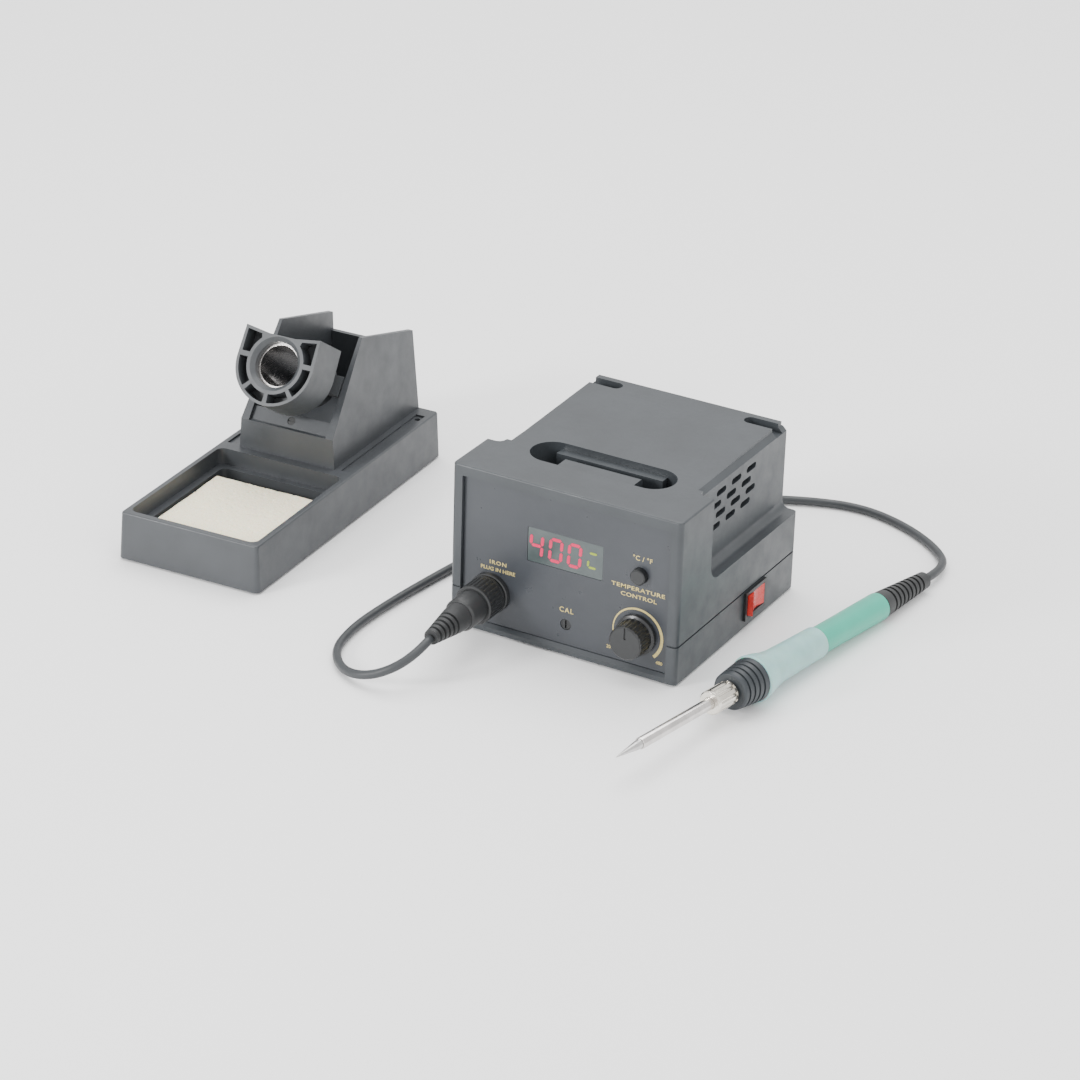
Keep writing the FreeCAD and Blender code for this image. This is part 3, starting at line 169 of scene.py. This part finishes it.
def moulded(name, color, rough=0.45, grain=0.35, height=0.012, spread=0.12, **sockets):
    """Spark-textured moulded plastic: fine grain, uneven sheen and faint handling marks."""
    made = Shader(name, color, rough, **sockets)
    broad = made.noise(28, 4)
    made.color(broad, [(0.3, shade(color, 1 - spread)), (0.7, shade(color, 1 + spread))])
    made.rough(made.noise(9, 5, 0.6), rough - 0.07, rough + 0.09)
    made.relief(made.noise(grain, 2, 0.6), height, 0.7)
    made.relief(made.noise(14, 2), 0.02, 0.35)
    return made.material


def metal(name, color, rough=0.25, brushed=None, wear=0.25):
    """Metal with fine marks, drawn out along one axis if brushed gives the stretch."""
    made = Shader(name, color, rough, 1.0)
    made.color(made.noise(6, 4), [(0.25, shade(color, 1 - wear)), (0.75, color)])
    made.rough(made.noise(0.5, 5, 0.7, brushed), rough - 0.08, rough + 0.12)
    made.relief(made.noise(0.3, 4, 0.6, brushed), 0.004, 0.5)
    return made.material


def glow(name, color, strength):
    made = Shader(name, shade(color, 0.6), 0.4)
    made.color(made.noise(1.6, 2), [(0.3, shade(color, 0.5)), (0.7, shade(color, 0.65))])
    made.bsdf.inputs["Emission Color"].default_value = (*color, 1)
    made.bsdf.inputs["Emission Strength"].default_value = strength
    return made.material


def make_materials():
    charcoal = (0.036, 0.041, 0.046)
    m = {
        "case": moulded("case_plastic", charcoal, 0.38, 0.45, 0.014),
        "fascia": moulded("fascia_plastic", (0.036, 0.040, 0.047), 0.33, 0.3, 0.008, 0.08),
        "stand": moulded("stand_plastic", (0.044, 0.048, 0.053), 0.40, 0.5, 0.016),
        "cup": moulded("receptacle_plastic", (0.050, 0.054, 0.058), 0.42, 0.4, 0.012),
        "black": moulded("black_plastic", (0.016, 0.017, 0.018), 0.4, 0.3, 0.01),
        "knob": moulded("knob_plastic", (0.014, 0.015, 0.016), 0.36, 0.3, 0.01),
        "rubber": moulded("rubber", (0.020, 0.021, 0.022), 0.55, 0.2, 0.014),
        "collar": moulded("collar_plastic", (0.022, 0.027, 0.032), 0.45, 0.25, 0.012),
        "handle": moulded("handle_plastic", (0.032, 0.36, 0.255), 0.34, 0.3, 0.008, 0.08),
        "rocker": moulded("rocker_plastic", (0.62, 0.030, 0.022), 0.28, 0.3, 0.006, 0.06),
        "cord": moulded("cord_jacket", (0.030, 0.033, 0.036), 0.46, 0.2, 0.008),
        "steel": metal("turned_steel", (0.74, 0.71, 0.69), 0.20, (1, 0.06, 1)),
        "nickel": metal("nickel_plate", (0.80, 0.76, 0.68), 0.18),
        "tip": metal("plated_tip", (0.66, 0.65, 0.64), 0.30),
        "zinc": metal("zinc_plate", (0.55, 0.56, 0.57), 0.34),
        "board": moulded("solder_resist", (0.02, 0.12, 0.05), 0.35, 0.6, 0.01),
        "parts": moulded("components", (0.03, 0.03, 0.04), 0.4, 0.4, 0.01),
        "winding": moulded("winding_tape", (0.45, 0.30, 0.04), 0.5, 0.8, 0.02),
        "ceramic": moulded("ceramic", (0.7, 0.68, 0.64), 0.5, 0.3, 0.01),
        "white": moulded("white_mark", (0.75, 0.73, 0.70), 0.5, 0.3, 0.006, 0.06),
        "digit": glow("digit_crimson", (0.70, 0.003, 0.085), 0.75),
        "letter": glow("digit_green", (0.30, 0.38, 0.02), 0.75),
    }
    m["gold"] = gold_print()
    m["window"] = display_window()
    m["sleeve"] = grip_silicone()
    m["sponge"] = cellulose()
    m["glass"] = Shader("fuse_glass", (0.9, 0.95, 0.95), 0.05, Transmission_Weight=0.9).material
    m["floor"] = studio_floor()
    return m


def gold_print():
    made = Shader("gold_print", (0.55, 0.45, 0.17), 0.45, 0.35)
    made.color(made.noise(0.7, 3), [(0.3, (0.50, 0.40, 0.14)), (0.7, (0.66, 0.55, 0.24))])
    made.relief(made.noise(0.15, 2), 0.01, 0.5)
    return made.material


def display_window():
    """A smoky window over the display, a little greener than the fascia."""
    made = Shader("display_window", (0.05, 0.065, 0.065), 0.16, Coat_Weight=0.3)
    made.color(made.noise(9, 3), [(0.3, (0.042, 0.056, 0.057)), (0.7, (0.058, 0.074, 0.073))])
    made.rough(made.noise(12, 3), 0.16, 0.26)
    return made.material


def grip_silicone():
    made = Shader(
        "grip_silicone", (0.36, 0.62, 0.60), 0.38, Transmission_Weight=0.28, IOR=1.41,
        Subsurface_Weight=0.35, Subsurface_Scale=0.006,
    )
    made.color(made.noise(10, 3), [(0.3, (0.33, 0.58, 0.56)), (0.7, (0.42, 0.68, 0.66))])
    made.rough(made.noise(3, 4), 0.32, 0.46)
    made.relief(made.noise(0.4, 3), 0.01, 0.5)
    return made.material


def cellulose():
    """Compressed cellulose sponge: cream, with pores of many sizes."""
    made = Shader("cellulose", (0.80, 0.68, 0.42), 0.85, Subsurface_Weight=0.15, Subsurface_Scale=0.002)
    pores = made.cells(1.3)
    fine = made.noise(0.5, 4, 0.7)
    made.color(fine, [(0.32, (0.70, 0.57, 0.34)), (0.46, (0.90, 0.82, 0.60)), (0.66, (0.96, 0.91, 0.74))])
    made.relief(pores, 0.35, 0.5)
    made.relief(fine, 0.12, 0.5)
    return made.material


def studio_floor():
    made = Shader("studio_floor", (0.9, 0.9, 0.9), 0.6)
    made.color(made.noise(400, 2), [(0.3, (0.96, 0.96, 0.96)), (0.7, (0.98, 0.98, 0.98))])
    return made.material


M = make_materials()

NODE_MATERIALS = {
    "upper_housing": "case", "base_housing": "case", "front_panel": "fascia", "case_screws": "zinc",
    "station_feet": "rubber", "display_window": "window", "display_module": "parts",
    "control_board": "board", "board_components": "parts", "board_screws": "zinc",
    "temperature_knob": "knob", "potentiometer_shaft": "steel", "potentiometer_body": "zinc",
    "unit_button": "knob", "unit_contact": "black", "trimmer_rotor": "black", "trimmer_body": "parts",
    "iron_socket": "black", "socket_nut": "nickel", "plug_pins": "nickel", "plug_body": "black",
    "plug_ring": "black", "plug_boot": "rubber", "power_switch": "black", "power_rocker": "rocker",
    "mains_inlet": "black", "inlet_pins": "nickel", "fuse_holder": "black", "fuse": "glass",
    "fuse_cap": "black", "transformer_core": "zinc", "transformer_winding": "winding",
    "transformer_strap": "zinc", "strap_screws": "zinc", "soldering_tip": "tip",
    "heater_element": "ceramic", "heater_mount": "steel", "barrel": "steel", "barrel_nut": "nickel",
    "front_collar": "collar",
    "handle": "handle", "grip_sleeve": "sleeve", "strain_relief": "rubber", "stand_base": "stand",
    "stand_feet": "rubber", "stand_weight": "zinc", "stand_screws": "zinc", "holder_housing": "stand",
    "holder_cup": "cup", "holder_liner": "steel", "tilt_pins": "steel", "tilt_lock_screw": "black",
    "cord_tie": "black", "cord_coil": "cord", "cord_to_iron": "cord", "cord_to_plug": "cord",
    "sponge": "sponge",
}
SOFT_EDGES = {
    "upper_housing": 0.5, "base_housing": 0.5, "front_panel": 0.25, "stand_base": 0.6, "holder_housing": 0.7,
    "holder_cup": 0.5, "temperature_knob": 0.2, "power_switch": 0.35, "power_rocker": 0.5, "plug_ring": 0.15,
    "mains_inlet": 0.4, "barrel_nut": 0.2, "front_collar": 0.2, "fuse_cap": 0.3, "trimmer_rotor": 0.15,
    "iron_socket": 0.15, "plug_boot": 0.15, "strain_relief": 0.15, "display_window": 0.15, "unit_button": 0.2,
}


def dress(node, material, edge):
    """Gives a carried-over node its material, merged vertices, soft edges and clean shading."""
    thing = nodes[node]
    thing.data.materials.clear()
    thing.data.materials.append(M[material])
    for polygon in thing.data.polygons:
        polygon.use_smooth = True
    with bpy.context.temp_override(object=thing, active_object=thing, selected_objects=[thing]):
        bpy.ops.mesh.customdata_custom_splitnormals_clear()
    weld = thing.modifiers.new("merge", "WELD")
    weld.merge_threshold = 2e-6
    bevel = thing.modifiers.new("soft_edge", "BEVEL")
    bevel.width = edge * MM
    bevel.segments = 2
    bevel.limit_method = "ANGLE"
    bevel.angle_limit = math.radians(32)
    bevel.harden_normals = True
    bevel.use_clamp_overlap = True
    bevel.miter_outer = "MITER_ARC"


for node, material in NODE_MATERIALS.items():
    dress(node, material, SOFT_EDGES.get(node, 0.12))


# ---------------------------------------------------------------- new pieces

def piece(name, mesh, material, body):
    """A finished piece from a mesh in the row frame."""
    thing = bpy.data.objects.new(name, mesh)
    bpy.context.scene.collection.objects.link(thing)
    mesh.materials.append(M[material])
    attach(thing, body)
    return thing


def mesh_from(name, points, faces, smooth=True):
    mesh = bpy.data.meshes.new(name)
    mesh.from_pydata([tuple(p) for p in points], [], faces)
    for polygon in mesh.polygons:
        polygon.use_smooth = smooth
    mesh.validate()
    return mesh


def curve_line(points):
    """The line of a NURBS spline with these control points, in the row frame."""
    curve = bpy.data.curves.new("route", "CURVE")
    curve.dimensions = "3D"
    curve.resolution_u = 10
    spline = curve.splines.new("NURBS")
    spline.points.add(len(points) - 1)
    for control, point in zip(spline.points, points):
        control.co = (*point, 1)
    spline.order_u = 3
    spline.use_endpoint_u = True
    holder = bpy.data.objects.new("route", curve)
    mesh = bpy.data.meshes.new_from_object(holder)
    line = [v.co.copy() for v in mesh.vertices]
    bpy.data.objects.remove(holder)
    bpy.data.curves.remove(curve)
    bpy.data.meshes.remove(mesh)
    return line


def tube(name, line, radius, sides=16):
    """A closed round tube along a line, without twist."""
    points, faces = [], []
    side = (line[1] - line[0]).cross(Vector((0, 0, 1))).normalized()
    for index, spot in enumerate(line):
        ahead = (line[min(index + 1, len(line) - 1)] - line[max(index - 1, 0)]).normalized()
        side = (side - ahead * side.dot(ahead)).normalized()
        up = ahead.cross(side)
        for step in range(sides):
            angle = math.tau * step / sides
            points.append(spot + (side * math.cos(angle) + up * math.sin(angle)) * radius)
    for ring in range(len(line) - 1):
        for step in range(sides):
            a, b = ring * sides + step, ring * sides + (step + 1) % sides
            faces.append((a, b, b + sides, a + sides))
    faces.append(tuple(reversed(range(sides))))
    faces.append(tuple(range(len(points) - sides, len(points))))
    return mesh_from(name, points, faces)


# ---------------------------------------------------------------- cord

COIL = Vector((-30, 103, 0))
CORD_RADIUS = 2.1
IRON_CORD = [
    (114.04, 92.3, 5.35), (116.8, 113, 3.8), (103, 132, 2.4), (79, 147, 2.3), (52, 154, 2.3), (26, 147, 2.3),
    (0, 132, 2.7),
]
PLUG_CORD = [
    (-39.05, -113.1, 20.9), (-40, -127, 16.5), (-54, -136, 7.5), (-72, -134, 2.9), (-88, -118, 2.4),
    (-93, -94, 2.4), (-92, -66, 2.4), (-89, -36, 2.4), (-85, -6, 2.4), (-79, 26, 2.4), (-69, 54, 2.4), (-57.5, 78, 6.6),
]


def coil_points():
    """Two outer turns laid downwards, then three inner turns upwards, each shift a sixth of a turn."""
    outer, inner = 25.3 / 0.966, 21.0 / 0.966
    low, mid, high = 2.75, 6.95, 11.2
    shifts = [
        (90, outer, mid), (390, outer, mid), (450, outer, low), (690, outer, low), (750, inner, low),
        (990, inner, low), (1050, inner, mid), (1290, inner, mid), (1350, inner, high), (1980, inner, high),
    ]
    points = []
    for degrees in range(90, 1981, 30):
        after = next(i for i, shift in enumerate(shifts) if shift[0] >= degrees)
        first, second = shifts[max(after - 1, 0)], shifts[after]
        share = (degrees - first[0]) / max(second[0] - first[0], 1)
        radius = first[1] + (second[1] - first[1]) * share
        height = first[2] + (second[2] - first[2]) * share
        angle = math.radians(degrees)
        points.append(COIL + Vector((radius * math.cos(angle), radius * math.sin(angle), height)))
    return points


def cord():
    route = [Vector(p) for p in IRON_CORD] + coil_points() + [Vector(p) for p in reversed(PLUG_CORD)]
    line = curve_line([at(STATION, *point) for point in route])
    thing = bpy.data.objects.new("cord", tube("cord", line, CORD_RADIUS * MM))
    bpy.context.scene.collection.objects.link(thing)
    thing.data.materials.append(M["cord"])
    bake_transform(thing)
    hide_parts("cord_to_iron", "cord_to_plug", "cord_coil")


cord()


# ---------------------------------------------------------------- sponge

def sponge():
    """A slab with slightly uneven sides, a crowned top and open pores."""
    low, high = 5.3, 17.5
    half_x, half_y = 29.0, 31.5
    centre_y = 42.75
    bm = bmesh.new()
    rows, columns = 88, 96

    def shape(u, v):
        """Spreads a unit square over the slab with rounded corners."""
        x, y = u * half_x, v * half_y
        corner = 3.5
        over_x, over_y = abs(x) - (half_x - corner), abs(y) - (half_y - corner)
        if over_x > 0 and over_y > 0:
            reach = math.hypot(over_x, over_y)
            if reach > corner:
                over_x, over_y = over_x * corner / reach, over_y * corner / reach
            x = math.copysign(half_x - corner + over_x, x)
            y = math.copysign(half_y - corner + over_y, y)
        return x, y

    top = []
    for row in range(rows + 1):
        line = []
        for column in range(columns + 1):
            u, v = 2 * column / columns - 1, 2 * row / rows - 1
            x, y = shape(u, v)
            edge = max(abs(u), abs(v))
            wave = noise.noise(Vector((x * 0.09, y * 0.09, 3.1)))
            grain = noise.noise(Vector((x * 0.9, y * 0.9, 8.7)))
            pore = max(0.0, noise.noise(Vector((x * 0.55, y * 0.55, 1.7))) - 0.28)
            height = high - 0.45 * edge ** 8 - 1.4 * max(0, edge - 0.97) / 0.03 * 0.5
            height += 0.22 * wave + 0.12 * grain - 1.6 * pore
            x += 0.35 * noise.noise(Vector((y * 0.12, 5.0, 0))) * (abs(u) ** 6)
            y += 0.35 * noise.noise(Vector((x * 0.12, 9.0, 0))) * (abs(v) ** 6)
            line.append(bm.verts.new(at(STAND, x + 0.25, y + centre_y, height)))
        top.append(line)
    for row in range(rows):
        for column in range(columns):
            near, far = top[row], top[row + 1]
            bm.faces.new((near[column], near[column + 1], far[column + 1], far[column]))
    rim = [edge for edge in bm.edges if edge.is_boundary]
    for step in range(1, 7):
        level = high - 0.8 - (high - 0.8 - low) * step / 6
        grown = bmesh.ops.extrude_edge_only(bm, edges=rim)["geom"]
        rim = [g for g in grown if isinstance(g, bmesh.types.BMEdge) and g.is_boundary]
        for vertex in {v for edge in rim for v in edge.verts}:
            wobble = noise.noise(vertex.co * 300 + Vector((0, 0, step * 2.0)))
            vertex.co.z = (level + 0.1 * wobble) * MM if step < 6 else low * MM
            vertex.co.x += 0.00012 * wobble
    bmesh.ops.contextual_create(bm, geom=rim)
    bmesh.ops.triangulate(bm, faces=[f for f in bm.faces if len(f.verts) > 4])
    bmesh.ops.recalc_face_normals(bm, faces=bm.faces)
    mesh = bpy.data.meshes.new("wet_sponge")
    bm.to_mesh(mesh)
    bm.free()
    for polygon in mesh.polygons:
        polygon.use_smooth = True
    thing = piece("wet_sponge", mesh, "sponge", "sponge")
    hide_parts("sponge")


sponge()


# ---------------------------------------------------------------- legends and display

def panel_place(x, z, lift=0.06):
    """Stands flat artwork on the fascia: its X to the right, its Y up."""
    upright = Euler((math.pi / 2, 0, 0)).to_matrix().to_4x4()
    return Matrix.Translation(at(STATION, x, PANEL_Y - lift, z)) @ upright


def lettering(name, words, size, place, spacing=1.0, width=1.0):
    """Raised print of a few generic words, as a mesh."""
    curve = bpy.data.curves.new(name, "FONT")
    curve.body = words
    curve.size = size * MM
    curve.align_x = "CENTER"
    curve.align_y = "CENTER"
    curve.extrude = 0.05 * MM
    curve.space_character = spacing
    curve.offset = 0.00004
    curve.resolution_u = 4
    holder = bpy.data.objects.new(name, curve)
    mesh = bpy.data.meshes.new_from_object(holder)
    bpy.data.objects.remove(holder)
    bpy.data.curves.remove(curve)
    mesh.name = name
    mesh.materials.clear()
    mesh.transform(place @ Matrix.Diagonal((width, 1, 1, 1)))
    return piece(name, mesh, "gold", ROOT)


def flat_bar(points, thick):
    """A flat outline, points in millimetres, with a thickness; as points and faces."""
    count = len(points)
    ring = [Vector((x, y, 0)) * MM for x, y in points] + [Vector((x, y, thick)) * MM for x, y in points]
    faces = [tuple(reversed(range(count))), tuple(range(count, 2 * count))]
    faces += [(i, (i + 1) % count, (i + 1) % count + count, i + count) for i in range(count)]
    return ring, faces


def gather(name, shapes, place):
    """Joins outlines into one mesh and stands it in place."""
    points, faces = [], []
    for outline, thick in shapes:
        ring, sides = flat_bar(outline, thick)
        faces += [tuple(i + len(points) for i in face) for face in sides]
        points += ring
    return mesh_from(name, [place @ p for p in points], faces, smooth=False)


SEGMENTS = {
    "a": (0, 1, True), "g": (0, 0, True), "d": (0, -1, True), "f": (-1, 0.5, False), "b": (1, 0.5, False),
    "e": (-1, -0.5, False), "c": (1, -0.5, False),
}


def digit(segments, x, wide=7.4, tall=12.4, weight=1.55, slant=0.06):
    """The lit bars of a seven segment figure, as outlines about (x, 0)."""
    half_w, half_h = (wide - weight) / 2, (tall - weight) / 2
    shapes = []
    for letter in segments:
        sx, sy, flat = SEGMENTS[letter]
        cx, cy = sx * half_w, sy * half_h
        reach = (half_w if flat else half_h / 2) - 0.28
        bevel = weight / 2
        bar = [(-reach, 0), (-reach + bevel, bevel), (reach - bevel, bevel), (reach, 0),
               (reach - bevel, -bevel), (-reach + bevel, -bevel)]
        if not flat:
            bar = [(-b, a) for a, b in bar]
        shapes.append(([(x + cx + a + slant * (cy + b), cy + b) for a, b in bar][::-1], 0.10))
    return shapes


def display():
    upright = Euler((math.pi / 2, 0, 0)).to_matrix().to_4x4()
    place = Matrix.Translation(at(STATION, -0.5, -58.31, 51.6)) @ upright
    figures = digit("fgbc", -15.2) + digit("abcdef", -5.0) + digit("abcdef", 4.9)
    piece("display_digits", gather("display_digits", figures, place), "digit", ROOT)
    letter = digit("aed", 14.4, wide=5.6, tall=8.4, weight=1.1)
    piece("display_unit", gather("display_unit", letter, place), "letter", ROOT)


def scale_arc():
    """A printed arc that thickens round the knob, from its low end to its high end."""
    shapes = []
    steps = 56
    for step in range(steps):
        first, second = (math.radians(222 - 268 * (step + s) / steps) for s in (0, 1.02))
        inner = 12.2
        grow = [0.35 + 1.15 * min(1, (step + s) / steps * 1.15) for s in (0, 1)]
        shapes.append(([
            (inner * math.cos(first), inner * math.sin(first)),
            ((inner + grow[0]) * math.cos(first), (inner + grow[0]) * math.sin(first)),
            ((inner + grow[1]) * math.cos(second), (inner + grow[1]) * math.sin(second)),
            (inner * math.cos(second), inner * math.sin(second)),
        ], 0.06))
    piece("scale_arc", gather("scale_arc", shapes, panel_place(38.3, 21.1, 0.0)), "gold", ROOT)


def legends():
    lettering("legend_socket_a", "IRON", 2.7, panel_place(-35.6, 36.9), spacing=1.2, width=1.25)
    lettering("legend_socket_b", "PLUG IN HERE", 2.6, panel_place(-35.6, 33.4), width=1.12)
    lettering("legend_cal", "CAL", 3.6, panel_place(1.2, 22.8), spacing=1.2)
    lettering("legend_unit", "°C / °F", 3.3, panel_place(39.6, 59.5), spacing=1.1)
    lettering("legend_knob_a", "TEMPERATURE", 2.8, panel_place(38.0, 43.6), spacing=1.1, width=1.4)
    lettering("legend_knob_b", "CONTROL", 2.8, panel_place(38.4, 39.8), spacing=1.1, width=1.3)
    lettering("legend_low", "200", 2.3, panel_place(24.5, 10.6))
    lettering("legend_high", "480", 2.3, panel_place(50.3, 9.3))
    scale_arc()


legends()
display()


# ---------------------------------------------------------------- floor, light, camera

def studio():
    bpy.ops.mesh.primitive_plane_add(size=12, location=(0, 0, -0.0001))
    floor = bpy.context.object
    floor.name = "floor"
    floor.data.materials.append(M["floor"])
    world = bpy.data.worlds.new("studio")
    bpy.context.scene.world = world
    world.use_nodes = True
    background = next(n for n in world.node_tree.nodes if n.type == "BACKGROUND")
    background.inputs["Color"].default_value = (1, 1, 1, 1)
    background.inputs["Strength"].default_value = 1.35
    lamps = [
        ("key", (-0.75, -1.25, 0.62), 0.35, 20),
        ("fill", (1.5, -0.6, 1.0), 1.4, 10),
        ("top", (-0.2, 0.5, 1.7), 1.6, 34),
    ]
    for name, spot, size, power in lamps:
        data = bpy.data.lights.new(name, "AREA")
        data.shape = "SQUARE"
        data.size = size
        data.energy = power
        lamp = bpy.data.objects.new(name, data)
        lamp.location = spot
        lamp.rotation_euler = (Vector((0, 0, 0.03)) - Vector(spot)).to_track_quat("-Z", "Y").to_euler()
        bpy.context.scene.collection.objects.link(lamp)


def camera():
    data = bpy.data.cameras.new("camera")
    data.lens = 133.333
    data.sensor_width = 36
    data.clip_end = 20
    view = bpy.data.objects.new("camera", data)
    right = Vector((0.868444, 0.494977, 0.028326))
    down = Vector((0.241669, -0.372740, -0.895914))
    ahead = Vector((-0.432899, 0.784896, -0.443324))
    basis = Matrix((right, -down, -ahead)).transposed().to_4x4()
    view.matrix_world = Matrix.Translation(at(STATION, 781.18, -1499.98, 869.16)) @ basis
    bpy.context.scene.collection.objects.link(view)
    bpy.context.scene.camera = view


studio()
camera()
bpy.context.view_layer.update()
